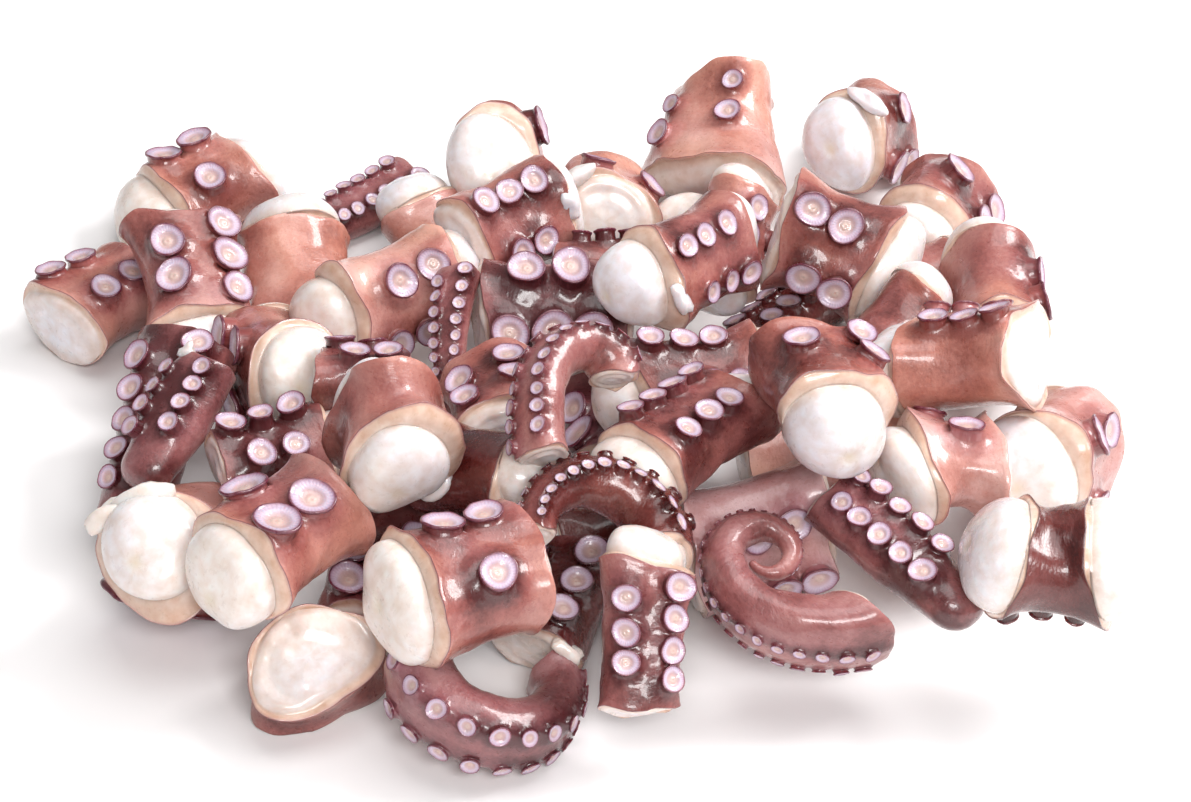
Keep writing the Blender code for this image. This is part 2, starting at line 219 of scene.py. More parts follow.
class Shape:
    """Points, faces and what the colours need to know at each point.

    Grain is the place in the flesh. Cut goes up from the edge of the skin to the nerve, and
    cup from the foot of a sucker to its pit. Spoke is the way from a sucker's middle. Near
    is 1 at a sucker, and edge is 1 at a cut edge of the skin.
    """

    def __init__(self):
        self.points, self.grain, self.cut, self.cup, self.spoke, self.faces = [], [], [], [], [], []
        self.near, self.edge = [], []
        self.count = 0

    def add(self, points, grain, cut=0.0, cup=0.0, spoke=None, near=0.0, edge=0.0):
        number = len(points)
        self.points.append(points)
        self.grain.append(grain)
        self.cut.append(np.broadcast_to(cut, number))
        self.cup.append(np.broadcast_to(cup, number))
        self.near.append(np.broadcast_to(near, number))
        self.edge.append(np.broadcast_to(edge, number))
        self.spoke.append(np.zeros((number, 3)) if spoke is None else spoke)
        self.count += number
        return np.arange(self.count - number, self.count)

    def band(self, outer, inner):
        """Quads between two rings of the same number of points."""
        for a, b, c, d in zip(outer, np.roll(outer, -1), np.roll(inner, -1), inner):
            self.faces.append((int(a), int(b), int(c), int(d)))

    def close(self, ring, point):
        """Triangles from a ring to one point."""
        for a, b in zip(ring, np.roll(ring, -1)):
            self.faces.append((int(a), int(b), int(point)))


GRID = 1.2  # between points on the skin
FEWEST_ROWS, FEWEST_COLUMNS = 8, 24
GIRTH = 0.92  # of the flattened section, over that of a circle as wide
FOOT = 0.93  # foot of a sucker's stalk over the radius of its disc
CLEAR_OF_SUCKER = 0.5 * GRID / 2.2  # room round a foot over its radius, which is about 2.2
SIDES_PER_MM, LEAST_SIDES, MOST_SIDES = 3.2, 10, 30  # of a sucker, by its width
BROAD_RELIEF, BROAD_SIZE = 0.24, 10  # height and size of the broad unevenness
FINE_RELIEF, FINE_SIZE = 0.05, 4.2  # and of the fine wrinkles
ALONG_WRINKLES = (1.0, 0.45, 0.45)  # stretches the fine relief round the arm
FULL_RELIEF = 22  # arms at least this wide have the full relief
MOUND = 0.11  # height of the skin round a sucker over the widest sucker
CALM_REACH, MOUND_REACH, NEAR_REACH = 0.8, 0.9, 1.2  # past a sucker's foot, over its radius
EDGE_SHADE = 3.0  # how far from a cut the skin looks paler


def skin_tube(shape, arm):
    """The skin, with a hole for each sucker. Returns the two cut edges and the suckers."""
    girth = math.pi * arm.wide * (1 + arm.taper) / 2 * GIRTH
    rows = max(FEWEST_ROWS, round(arm.long / GRID))
    columns = max(FEWEST_COLUMNS, round(math.pi * arm.wide * GIRTH / GRID))
    places = []
    for t, a, width in sucker_places(arm):
        foot = 0.5 * width * FOOT
        here = girth * float(arm.half_width(t)) / (0.25 * arm.wide * (1 + arm.taper))
        places.append((t, a, width, foot / arm.long, foot / here))

    t, s = np.meshgrid(np.linspace(0, 1, rows + 1), np.linspace(-0.5, 0.5, columns + 1),
                       indexing="ij")
    flat = np.stack([t.ravel(), s.ravel()], 1)
    edge = (flat[:, 0] == 0) | (flat[:, 0] == 1) | (abs(flat[:, 1]) == 0.5)

    def from_suckers(flat):
        """How far each spot is from the nearest sucker, over the radius of its foot."""
        best = np.full(len(flat), 9.0)
        for t, a, width, long, high in places:
            d = np.hypot((flat[:, 0] - t) / long, (flat[:, 1] - a / math.tau) / high)
            best = np.minimum(best, d)
        return best

    flat = flat[edge | (from_suckers(flat) > 1 + CLEAR_OF_SUCKER)]
    rings = []
    for t, a, width, long, high in places:
        sides = int(np.clip(round(width * SIDES_PER_MM), LEAST_SIDES, MOST_SIDES))
        turn = math.tau * (np.arange(sides) + 0.5) / sides
        ring = np.stack([t + long * np.cos(turn), a / math.tau + high * np.sin(turn)], 1)
        rings.append((list(range(len(flat), len(flat) + sides)), turn))
        flat = np.vstack([flat, ring])

    scaled = [Vector((x * arm.long, y * girth)) for x, y in flat]
    _, _, faces, sources, _, under = delaunay_2d_cdt(scaled, [], [r for r, _ in rings], 0, 1e-7)
    order = np.array([source[0] for source in sources])
    made = flat[order]

    # The last column of points is the first one again.
    first = {round(p[0], 9): k for k, p in enumerate(made) if p[1] == -0.5}
    same = np.arange(len(made))
    for k, p in enumerate(made):
        if p[1] == 0.5:
            same[k] = first[round(p[0], 9)]
    keep = np.flatnonzero(same == np.arange(len(made)))
    place_of = np.full(len(made), -1)
    place_of[keep] = np.arange(len(keep))
    place_of = place_of[same]

    t, a = made[keep, 0], made[keep, 1] * math.tau
    points = arm.skin(t, a)
    out, _ = arm.outward(t, a)
    side, up = arm.section(t, a)
    grain = np.stack([t * arm.long, side, up], 1) + arm.offset
    away = from_suckers(made[keep])
    rng = arm.rng
    relief = BROAD_RELIEF * waves(grain, BROAD_SIZE, rng)
    relief += FINE_RELIEF * waves(grain * ALONG_WRINKLES, FINE_SIZE, rng)
    calm = smooth((away - 1) / CALM_REACH)
    widest = max([w for _, _, w, _, _ in places] or [0])
    mound = MOUND * widest * smooth((1 + MOUND_REACH - away) / MOUND_REACH)
    points = points + out * (relief * calm * min(1.0, arm.wide / FULL_RELIEF) + mound)[:, None]
    near = smooth((1 + NEAR_REACH - away) / NEAR_REACH)
    index = shape.add(points, grain, near=near, edge=sum(arm.from_cuts(t, EDGE_SHADE)))
    where = index[place_of]
    for face, ring in zip(faces, under):
        if not ring:
            shape.faces.append(tuple(int(where[k]) for k in face))

    of_source = {}
    for k, source in enumerate(sources):
        of_source[source[0]] = int(where[k])
    edges = []
    for end in (0.0, 1.0):
        loop = [(p[1], int(where[k])) for k, p in enumerate(made) if p[0] == end and p[1] < 0.5]
        edges.append(np.array([i for _, i in sorted(loop)]))
    suckers = []
    for (t, a, width, _, _), (ring, turn) in zip(places, rings):
        suckers.append((t, a, width, turn, np.array([of_source[k] for k in ring])))
    return edges, suckers


# Rings of a sucker: radius over the disc's, share of the stalk's height, height from the rim
# over the disc's radius, and a number that the colours follow: 0.5 is the rim, 1 the pit.
SUCKER_RINGS = (
    (0.93, 0.12, 0.00, 0.10), (0.89, 0.40, 0.00, 0.18), (0.88, 0.68, -0.02, 0.26),
    (0.92, 0.90, -0.06, 0.34), (0.975, 1.0, -0.08, 0.40), (1.00, 1.0, -0.02, 0.43),
    (0.990, 1.0, 0.035, 0.46), (0.955, 1.0, 0.065, 0.49), (0.91, 1.0, 0.06, 0.515),
    (0.865, 1.0, 0.025, 0.55), (0.80, 1.0, -0.01, 0.60), (0.71, 1.0, -0.025, 0.65),
    (0.62, 1.0, -0.045, 0.70), (0.54, 1.0, -0.09, 0.745), (0.46, 1.0, -0.14, 0.79),
    (0.36, 1.0, -0.175, 0.83), (0.27, 1.0, -0.18, 0.87), (0.19, 1.0, -0.150, 0.90),
    (0.12, 1.0, -0.135, 0.93), (0.06, 1.0, -0.15, 0.96),
)
PIT = -0.165  # bottom of the pit, from the rim over the disc's radius
LEAN = 0.35  # of a sucker from its own side of the arm towards the middle
TILT = 0.07  # a little this way or that
OFF_SIZE, OFF_HEIGHT, OFF_CENTRE = 0.07, 0.2, 0.06  # how much suckers differ
OVAL, THREE_SIDED = 0.06, 0.025  # how far a disc is from round
RIPPLE = 0.018  # height of the ripples in a rim over its radius
PIT_REACH = 0.6  # inside this share of the radius the disc follows the pit
FOOT_SHARE, FOOT_STEP = 0.45, 0.3  # how soon the rings turn from the foot's shape to the disc's


def sucker(shape, arm, t, a, width, turn, foot):
    """One sucker on its foot: stalk, thin rim, shallow cup and pit."""
    rng = arm.rng
    points = np.vstack(shape.points)[foot]
    out, along = (v[0] for v in arm.outward(np.array([t]), np.array([a])))
    middle = points.mean(0)
    out = unit(out * (1 - LEAN) + arm.oral(t) * LEAN + rng.normal(size=3) * TILT)
    across = unit(np.cross(out, along))
    along = np.cross(across, out)
    radius = width / 2 * rng.uniform(1 - OFF_SIZE, 1 + OFF_SIZE)
    oval = 1 + OVAL * np.cos(2 * turn + rng.uniform(0, math.tau))
    oval += THREE_SIDED * np.cos(3 * turn + rng.uniform(0, math.tau))
    ripple = np.cos(5 * turn + rng.uniform(0, math.tau))
    ripple += np.cos(7 * turn + rng.uniform(0, math.tau))
    tall = arm.stalk * rng.uniform(1 - OFF_HEIGHT, 1 + OFF_HEIGHT)
    pit = rng.uniform(-OFF_CENTRE, OFF_CENTRE, 2)
    spokes = np.cos(turn)[:, None] * along + np.sin(turn)[:, None] * across
    flat_spokes = np.stack([np.cos(turn), np.sin(turn), 0 * turn], 1)
    grain = np.vstack(shape.grain)[foot].mean(0)
    last = foot
    for k, (reach, share, rise, colour) in enumerate(SUCKER_RINGS):
        rim = smooth(1 - abs(reach - 1) * 5)
        level = share * tall + rise + RIPPLE * ripple * rim
        inward = smooth((PIT_REACH - reach) / 0.5)
        shift = (pit[0] * along + pit[1] * across) * radius * inward
        ring = middle + spokes * (radius * reach * (1 + (oval - 1) * (1 - inward)))[:, None]
        ring = ring + out * (radius * level)[:, None] + shift
        blend = min(1.0, FOOT_SHARE + FOOT_STEP * k)
        ring = ring * blend + (points + out * radius * share * tall) * (1 - blend)
        here = shape.add(ring, grain + flat_spokes * radius * reach, cup=colour,
                         spoke=flat_spokes * reach, near=1.0)
        shape.band(last, here)
        last = here
    bottom = middle + out * radius * (tall + PIT) + (pit[0] * along + pit[1] * across) * radius
    point = shape.add(bottom[None], grain[None], cup=1.0, near=1.0)[0]
    shape.close(last, point)


SKIN_THICK = 0.45
LIP_RISE = 0.26  # of the inner edge of the cut skin past its outer edge
# Rings over the thickness of the skin: how far inwards, how high, and the colour's number.
LIP_RINGS = ((0.05, 0.10, 0.08), (0.22, 0.22, 0.30), (SKIN_THICK, LIP_RISE, 0.60))
# The flesh is rounder than the edge of the skin: each of its spokes is the mean of those
# within a ninth of the way round on both sides, made a little longer again.
SMOOTHED_PARTS = 9
SMOOTHED_GROWS = 1.06
TWO_LOBES, THREE_LOBES = 0.05, 0.03  # how far the flesh is from round, over its breadth


class Cut:
    """One end of a length: lays rings of flesh from the cut edge of the skin inwards."""

    def __init__(self, shape, arm, which, edge):
        t = float(which)
        self.shape, self.which, self.last, self.rng = shape, which, edge, arm.rng
        self.facing = self.across_edge(arm)
        self.points = np.vstack(shape.points)[edge]
        self.grain = np.vstack(shape.grain)[edge]
        self.near = np.concatenate(shape.near)[edge]
        self.straight = np.array([1.0 if which else -1.0, 0, 0])
        self.middle = self.points.mean(0)
        self.spokes = self.points - self.middle
        reach = len(edge) // SMOOTHED_PARTS
        rolled = [np.roll(self.spokes, k, axis=0) for k in range(-reach, reach + 1)]
        self.round = np.mean(rolled, axis=0) * SMOOTHED_GROWS
        self.width = 2 * float(arm.half_width(t))
        self.away = -arm.oral(t)
        self.turn = math.tau * np.arange(len(edge)) / len(edge)
        self.inward = -unit(self.spokes)
        self.unbend = np.array([[arm.along(t)[0], 0, arm.oral(t)[0]], [0, 1, 0],
                                [arm.along(t)[2], 0, arm.oral(t)[2]]])

    def across_edge(self, arm):
        """The way that the cut faces, which a slanting cut turns."""
        t, lean = float(self.which), arm.slant[self.which]
        outwards = 1 if self.which else -1
        straight = arm.along(t) * outwards
        return unit(straight - arm.oral(t) * lean * outwards) if lean else straight

    def ring(self, where, height, cut, near=0.0):
        """One more ring; cut is the number that the colours of the flesh follow."""
        rise = np.broadcast_to(height, len(self.turn))[:, None]
        grain = self.grain + (where - self.points) @ self.unbend + self.straight * rise
        here = self.shape.add(where + self.facing * rise, grain, cut=cut, near=near)
        if self.which:
            self.shape.band(self.last[::-1], here[::-1])
        else:
            self.shape.band(self.last, here)
        self.last = here

    def close(self, where, height, cut):
        """The last point, in the middle of the rings."""
        grain = self.grain.mean(0) + self.straight * height
        top = self.shape.add((where + self.facing * height)[None], grain[None], cut=cut)[0]
        self.shape.close(self.last[::-1] if self.which else self.last, top)

    def lip(self):
        """The cut thickness of the skin."""
        for inwards, height, colour in LIP_RINGS:
            self.ring(self.points + self.inward * inwards, height, colour)

    def uneven(self):
        """Soft lobes that keep the flesh from being quite round."""
        lobes = TWO_LOBES * np.cos(2 * self.turn + self.rng.uniform(0, 6))
        lobes += THREE_LOBES * np.cos(3 * self.turn + self.rng.uniform(0, 6))
        return (1 + lobes)[:, None]


COLLAR_SHARES = (0.10, 0.26, 0.44, 0.62, 0.80, 0.93)  # of the way from skin to white flesh
COLLAR_ASIDE = 0.7  # how far the egg lies to one side, over how far it lies to the back
COLLAR_RISE, COLLAR_ROUND = 0.34, 0.10  # over the collar's breadth
COLLAR_WAVE = 0.012  # over the width of the cut
VALLEY = 0.28  # from the collar down to the foot of the egg
EGG_STEPS = 15
EGG_FOOT = 0.07  # angle up the egg at its first ring
EGG_OFF = 0.12  # how far the top can be from the middle, over the width
EGG_SOFT, EGG_SOFT_SIZE = 0.27, 13  # height and size of its soft unevenness
NERVE_RING, NERVE_GROOVE = 0.46, 0.10  # a faint ring halfway in
DIMPLE = 0.35  # over the nerve, at the top
CLEAR, WHITE, NERVE = 1.44, 2.0, 2.5  # colour numbers of the flesh


def bulging_cut(cut, arm):
    """Clear flesh that swells out past the skin, then an egg of white muscle with a nerve."""
    cut.lip()
    aside = np.cross(cut.facing, cut.away) * math.sin(arm.phase[cut.which]) * COLLAR_ASIDE
    centre = cut.middle + (cut.away + aside) * arm.back * cut.width
    core = cut.round * arm.core * cut.uneven()
    valley = centre + core
    start = cut.points + cut.inward * SKIN_THICK
    gap = np.linalg.norm(valley - start, axis=1)
    wave = COLLAR_WAVE * cut.width * (1 + np.cos(2 * cut.turn + arm.phase[2]))
    foot = 0.30 + COLLAR_RISE * gap + wave
    for share in COLLAR_SHARES:
        swell = COLLAR_ROUND * gap * math.sin(math.pi * share)
        slope = LIP_RISE + (foot - LIP_RISE) * share ** 0.85 + swell
        cut.ring(start * (1 - share) + valley * share, slope, 0.85 + 0.55 * share)
    foot = foot - VALLEY
    cut.ring(valley, foot, CLEAR)
    high = arm.bulge[cut.which] * cut.width * cut.rng.uniform(0.92, 1.1)
    aside = unit(cut.spokes[0]) * cut.rng.uniform(-EGG_OFF, EGG_OFF) * cut.width
    seed = int(arm.phase[cut.which] * 1e6)
    for e in np.linspace(EGG_FOOT, math.pi / 2, EGG_STEPS)[:-1]:
        reach = math.cos(e) ** 0.80 * (1 + 0.05 * math.sin(2 * e))
        where = centre + core * reach + aside * math.sin(e) ** 2
        dome = foot + (high - foot) * math.sin(e) ** 0.95
        soft = waves(where + cut.facing * dome[:, None], EGG_SOFT_SIZE, np.random.default_rng(seed))
        groove = NERVE_GROOVE * math.exp(-((reach - NERVE_RING) / 0.07) ** 2)
        groove += DIMPLE * math.exp(-(reach / 0.13) ** 2)
        colour = 1.46 + 0.54 * min(1.0, e * 3.0) + 0.5 * math.exp(-(reach / 0.17) ** 2)
        cut.ring(where, dome + EGG_SOFT * soft * math.sin(2 * e) - groove, colour)
    cut.close(centre + aside, high - 0.5, NERVE)


CUTS = {"dome": bulging_cut}  # how each kind of end is closed

SHRED_SIDES, SHRED_RINGS = 14, 9
SHRED_HALVES = (0.34, 0.30, 0.62)  # half of its length, height and breadth over its size
SHRED_OUT = 0.15  # of its middle past the edge of the skin, over its size
SHRED_LUMPS, SHRED_LUMP_SIZE = 0.22, 1.6
SHRED_SEED = 977


def shred(shape, arm, which, angle, size):
    """A scrap of white flesh that hangs at a cut edge of the skin."""
    t, a = np.array([float(which)]), np.array([math.radians(angle)])
    place = arm.skin(t, a)[0]
    out, along = (v[0] for v in arm.outward(t, a))
    across = np.cross(out, along)
    middle = place + along * size * SHRED_OUT * (1 if which else -1) - out * size * SHRED_OUT
    turn = math.tau * np.arange(SHRED_SIDES) / SHRED_SIDES

    def cap(ring):
        end = ring.mean(0)[None]
        return shape.add(end, arm.offset + end, cut=WHITE)[0]

    for k in range(SHRED_RINGS + 1):
        down = math.pi * (k + 0.35) / (SHRED_RINGS + 0.7)
        spin = np.stack([np.cos(turn) * math.sin(down), np.sin(turn) * math.sin(down),
                         np.full(SHRED_SIDES, math.cos(down))], 1)
        lumps = waves(spin, SHRED_LUMP_SIZE, np.random.default_rng(int(size * SHRED_SEED)))
        spot = spin * SHRED_HALVES * size * (1 + SHRED_LUMPS * lumps)[:, None]
        where = middle + spot[:, :1] * along + spot[:, 1:2] * out + spot[:, 2:] * across
        here = shape.add(where, arm.offset + where, cut=WHITE)
        if k == 0:
            shape.close(here[::-1], cap(where))
        else:
            shape.band(last, here)
        last = here
    shape.close(last, cap(where))


MM = 0.001
GRAIN_ROOM = 400  # each arm has its own place in the grain of the flesh
TABLE_TOP = 0.0002  # m; soft flesh lies flat on the table


def node_box_middle(node):
    low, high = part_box(node)
    return (np.array(low) + np.array(high)) / 2


def lay(arm, material, slot):
    """Makes a length and puts it where its solid lies in the heap."""
    arm.offset = arm.rng.uniform(0, GRAIN_ROOM, 3)
    shape = Shape()
    edges, suckers = skin_tube(shape, arm)
    for each in suckers:
        sucker(shape, arm, *each)
    for which in (0, 1):
        CUTS[arm.ends[which]](Cut(shape, arm, which, edges[which]), arm)
    for each in arm.shreds:
        shred(shape, arm, *each)
    points = np.vstack(shape.points) @ np.array(arm.turned).T
    middle = (points.min(0) + points.max(0)) / 2
    points = (points - middle) * MM + node_box_middle(arm.node)
    points[:, 2] = np.maximum(points[:, 2], TABLE_TOP)
    data = bpy.data.meshes.new(arm.node + "_flesh")
    data.from_pydata(points.tolist(), [], shape.faces)
    numbers = {"cut": np.concatenate(shape.cut), "cup": np.concatenate(shape.cup),
               "near": np.concatenate(shape.near), "edge": np.concatenate(shape.edge),
               "light": np.full(shape.count, arm.light),
               "purple": np.full(shape.count, arm.purple)}
    for name, values in numbers.items():
        made = data.attributes.new(name, "FLOAT", "POINT")
        made.data.foreach_set("value", values.astype(np.float32))
    for name, values in (("grain", shape.grain), ("spoke", shape.spoke)):
        made = data.attributes.new(name, "FLOAT_VECTOR", "POINT")
        made.data.foreach_set("vector", np.vstack(values).astype(np.float32).ravel())
    data.shade_smooth()
    data.materials.append(material)
    piece = bpy.data.objects.new(arm.node + "_flesh", data)
    bpy.context.scene.collection.objects.link(piece)
    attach(piece, "root")
    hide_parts(arm.node)


class Nodes:
    """Short ways to add shader nodes to a material."""

    def __init__(self, name):
        self.material = bpy.data.materials.new(name)
        self.material.use_nodes = True
        self.tree = self.material.node_tree
        self.shader = self.tree.nodes["Principled BSDF"]

    def put(self, socket, value):
        if isinstance(value, bpy.types.NodeSocket):
            self.tree.links.new(value, socket)
        else:
            socket.default_value = value

    def add(self, kind, settings=None, **inputs):
        """A node; inputs are given by name, or as i0, i1 and so on by number."""
        made = self.tree.nodes.new("ShaderNode" + kind)
        for key, value in (settings or {}).items():
            setattr(made, key, value)
        for key, value in inputs.items():
            spot = int(key[1:]) if key[0] == "i" and key[1:].isdigit() else key.replace("_", " ")
            self.put(made.inputs[spot], value)
        return made

    def attribute(self, name):
        return self.add("Attribute", {"attribute_name": name})

    def math(self, what, a, b=0.0, c=0.0):
        return self.add("Math", {"operation": what}, i0=a, i1=b, i2=c).outputs[0]

    def blend(self, share, a, b, how="MIX"):
        made = self.add("Mix", {"data_type": "RGBA", "blend_type": how})
        self.put(made.inputs[0], share)
        for spot, value in ((6, a), (7, b)):
            self.put(made.inputs[spot], value if not isinstance(value, tuple) else (*value, 1.0))
        return made.outputs[2]

    def ramp(self, value, stops):
        made = self.add("ValToRGB", Fac=value)
        elements = made.color_ramp.elements
        while len(elements) < len(stops):
            elements.new(0.5)
        for element, (spot, colour) in zip(elements, stops):
            element.position = spot
            element.color = (*colour, 1.0) if isinstance(colour, tuple) else (colour,) * 3 + (1.0,)
        return made.outputs[0]

    def noise(self, vector, scale, detail=3.0, rough=0.55, warp=0.0):
        return self.add("TexNoise", Vector=vector, Scale=scale, Detail=detail, Roughness=rough,
                        Distortion=warp).outputs[0]


GROOVES = 30.0  # fine grooves round the ring of a sucker
WRINKLE = 0.0005  # m, the deepest that the wrinkles look


def flesh_material(name, deep, middle, pale, rim, gloss):
    """Boiled skin with suckers and cut flesh; the numbers on the mesh say which is where."""
    make = Nodes(name)
    grain = make.attribute("grain").outputs["Vector"]
    cut = make.attribute("cut").outputs["Fac"]
    cup = make.attribute("cup").outputs["Fac"]
    near = make.attribute("near").outputs["Fac"]
    edge = make.attribute("edge").outputs["Fac"]
    light = make.attribute("light").outputs["Fac"]
    purple = make.attribute("purple").outputs["Fac"]
    spoke = make.attribute("spoke").outputs["Vector"]

    # Skin: broad soft blotches, fine mottling, small dark freckles, darker by the suckers.
    broad = make.noise(grain, 0.055, 2.0, 0.5)
    mottled = make.noise(grain, 0.8, 4.0, 0.65)
    tone = make.math("ADD", make.math("MULTIPLY", broad, 0.80), make.math("MULTIPLY", mottled, 0.24))
    tone = make.math("SUBTRACT", make.math("ADD", tone, light), make.math("MULTIPLY", near, 0.12))
    tone = make.math("ADD", tone, make.math("MULTIPLY", edge, 0.08))
    skin = make.ramp(tone, ((0.35, deep), (0.53, middle), (0.73, pale)))
    warm = make.ramp(make.noise(grain, 0.04, 1.0, 0.5), ((0.40, 0.0), (0.62, 1.0)))
    warm = make.math("MULTIPLY", warm, make.math("SUBTRACT", 1.0, purple))
    skin = make.blend(warm, skin, make.blend(1.0, skin, (1.05, 0.97, 0.85), "MULTIPLY"))
    skin = make.blend(purple, skin, make.blend(1.0, skin, (0.82, 0.93, 1.15), "MULTIPLY"))
    by_sucker = make.math("MULTIPLY", near, 0.5)
    skin = make.blend(by_sucker, skin, make.blend(1.0, skin, (0.86, 0.74, 0.92), "MULTIPLY"))
    dots = make.add("TexVoronoi", Vector=grain, Scale=1.1, Randomness=1.0)
    dot = make.ramp(dots.outputs["Distance"], ((0.08, 1.0), (0.26, 0.0)))
    some = make.ramp(make.noise(grain, 0.16, 2.0, 0.5), ((0.40, 0.1), (0.62, 1.0)))
    dot = make.math("MULTIPLY", make.math("MULTIPLY", dot, some), 0.40)
    skin = make.blend(dot, skin, make.blend(1.0, skin, (0.38, 0.22, 0.24), "MULTIPLY"))

    # Cut flesh, by how far it is from the skin: a pale lip, a tan collar, glassy, then white.
    fibre = make.noise(grain, 0.30, 3.0, 0.5)
    white = make.ramp(fibre, (
        (0.30, (0.72, 0.60, 0.53)), (0.50, (0.78, 0.69, 0.64)), (0.70, (0.82, 0.77, 0.74))))
    cool = make.ramp(make.noise(grain, 0.022, 1.0, 0.5), ((0.38, 0.0), (0.60, 1.0)))
    white = make.blend(cool, white, make.blend(1.0, white, (0.93, 0.97, 1.08), "MULTIPLY"))
    tan = make.ramp(fibre, ((0.30, (0.56, 0.34, 0.24)), (0.70, (0.69, 0.50, 0.40))))
    glass = make.ramp(fibre, ((0.30, (0.61, 0.45, 0.37)), (0.70, (0.71, 0.59, 0.53))))
    half = make.math("MULTIPLY", cut, 0.5)
    flesh = make.blend(make.ramp(half, ((0.50, 0.0), (0.72, 1.0))), tan, glass)
    flesh = make.blend(make.ramp(half, ((0.73, 0.0), (0.97, 1.0))), flesh, white)
    nerve = make.add("MapRange", i0=cut, i1=2.05, i2=NERVE, i3=0.0, i4=0.65).outputs[0]
    flesh = make.blend(nerve, flesh, (0.68, 0.55, 0.38))
    lip = make.blend(0.45, skin, (0.74, 0.55, 0.48))
    flesh = make.blend(make.ramp(half, ((0.22, 0.0), (0.42, 1.0))), lip, flesh)
    colour = make.blend(make.ramp(half, ((0.02, 0.0), (0.05, 1.0))), skin, flesh)
    outline = make.ramp(half, ((0.0, 0.0), (0.03, 0.7), (0.10, 0.7), (0.16, 0.0)))
    colour = make.blend(outline, colour, rim)

    # Suckers: a stalk of skin, a thin dark rim, a lilac ring with fine grooves, a peach cup.
    parts = make.add("SeparateXYZ", Vector=spoke)
    turn = make.math("ARCTAN2", parts.outputs[1], parts.outputs[0])
    groove = make.math("SINE", make.math("MULTIPLY", turn, GROOVES))
    groove = make.math("MULTIPLY_ADD", groove, 0.5, 0.5)
    stalk = make.blend(1.0, skin, (0.90, 0.78, 0.86), "MULTIPLY")
    disc = make.ramp(cup, (
        (0.40, rim), (0.51, rim), (0.54, (0.33, 0.20, 0.28)), (0.60, (0.43, 0.32, 0.43)),
        (0.70, (0.56, 0.46, 0.56)), (0.745, (0.54, 0.41, 0.48)), (0.79, (0.51, 0.35, 0.36)),
        (0.87, (0.54, 0.37, 0.34)), (0.92, (0.58, 0.43, 0.38)), (1.0, (0.55, 0.37, 0.32))))
    in_groove = make.ramp(cup, ((0.54, 0.0), (0.59, 1.0), (0.68, 0.8), (0.75, 0.0)))
    grooved = make.math("MULTIPLY", make.math("MULTIPLY", groove, in_groove), 0.25)
    disc = make.blend(grooved, disc, (0.72, 0.60, 0.70))
    cloud = make.ramp(make.noise(grain, 0.5, 3.0, 0.6), ((0.40, 0.0), (0.65, 1.0)))
    disc = make.blend(make.math("MULTIPLY", cloud, 0.20), disc, (0.50, 0.29, 0.31))
    colour = make.blend(make.ramp(cup, ((0.05, 0.0), (0.18, 1.0))), colour, stalk)
    colour = make.blend(make.ramp(cup, ((0.30, 0.0), (0.41, 1.0))), colour, disc)
    make.put(make.shader.inputs["Base Color"], colour)

    # Wet, with fine wrinkles on the skin that break up the highlights.
    wet = make.noise(grain, 0.5, 3.0, 0.6)
    rough = make.add("MapRange", i0=wet, i1=0.35, i2=0.65, i3=gloss, i4=gloss + 0.14).outputs[0]
    make.put(make.shader.inputs["Roughness"], rough)
    pores = make.noise(grain, 2.2, 2.0, 0.5)
    squeezed = make.add("VectorMath", {"operation": "MULTIPLY"}, i0=grain, i1=ALONG_WRINKLES)
    wrinkles = make.noise(squeezed.outputs[0], 0.8, 3.0, 0.55, 0.4)
    on_skin = make.ramp(half, ((0.10, 1.0), (0.50, 0.18)))
    height = make.math("ADD", make.math("MULTIPLY", pores, 0.20), make.math("MULTIPLY", wrinkles, 0.60))
    height = make.math("ADD", make.math("MULTIPLY", height, on_skin), make.math("MULTIPLY", grooved, 0.5))
    bump = make.add("Bump", Strength=0.6, Distance=WRINKLE, Height=height)
    shader = make.shader
    make.put(shader.inputs["Normal"], bump.outputs[0])
    shader.inputs["Subsurface Weight"].default_value = 0.25
    shader.inputs["Subsurface Radius"].default_value = (1.0, 0.45, 0.32)
    shader.inputs["Subsurface Scale"].default_value = 0.003
    shader.inputs["Coat Weight"].default_value = 0.4
    shader.inputs["Coat Roughness"].default_value = 0.08
    return make.material


mauve = flesh_material("mauve_flesh", deep=(0.09, 0.018, 0.017), middle=(0.29, 0.094, 0.084),
                       pale=(0.48, 0.225, 0.195), rim=(0.105, 0.016, 0.036), gloss=0.26)
FINISH = {"mauve": (mauve, "mauve_arm")}  # each tone's material and a name


def length(name, heading, pitch, roll, long, wide, tone="mauve", **more):
    """A length in the place of the solid of that name, with the skin of that tone."""
    lay(Arm("arm_" + name, heading, pitch, roll, long, wide, **more), *FINISH[tone])


length("a3", -90, 32, -80, 24, 33, core=0.9, bulge=(0.3, 0.42))
length("a8", -115, 22, -80, 24, 29, back=0.08, bulge=(0.3, 0.45), shreds=((1, -60, 9),))
length("a10", -90, 45, 180, 18, 22, core=0.92)
length("a9", -110, 12, -50, 25, 29, core=0.80, back=0.09, bulge=(0.3, 0.38))
length("a11", 75, 25, 70, 28, 22, light=0.12)
length("b13", 20, 0, 180, 22, 20)
length("b7", -132, 5, -62, 29, 27, sucker=0.26, core=0.80, back=0.09, bulge=(0.3, 0.42),
       shreds=((1, 20, 7),))
length("b10", 90, 6, 85, 29, 31, light=0.04)
length("b11", 50, 12, 110, 27, 26, light=-0.04)
length("c3", -66, 26, 80, 28, 32, core=0.93, bulge=(0.3, 0.34))
length("c9", 15, 0, 20, 30, 27, sucker=0.27, core=0.82, back=0.07, bulge=(0.42, 0.3), stalk=0.7)
length("c10", 47, 0, -4, 32, 26, sucker=0.27, first=-0.5, stalk=0.85, light=-0.10)
length("c5", -70, -10, -75, 13, 35, waist=0.14, sucker=0.26, core=0.76, bulge=(0.30, 0.34),
       flare=2.4, shreds=((1, 70, 8),))
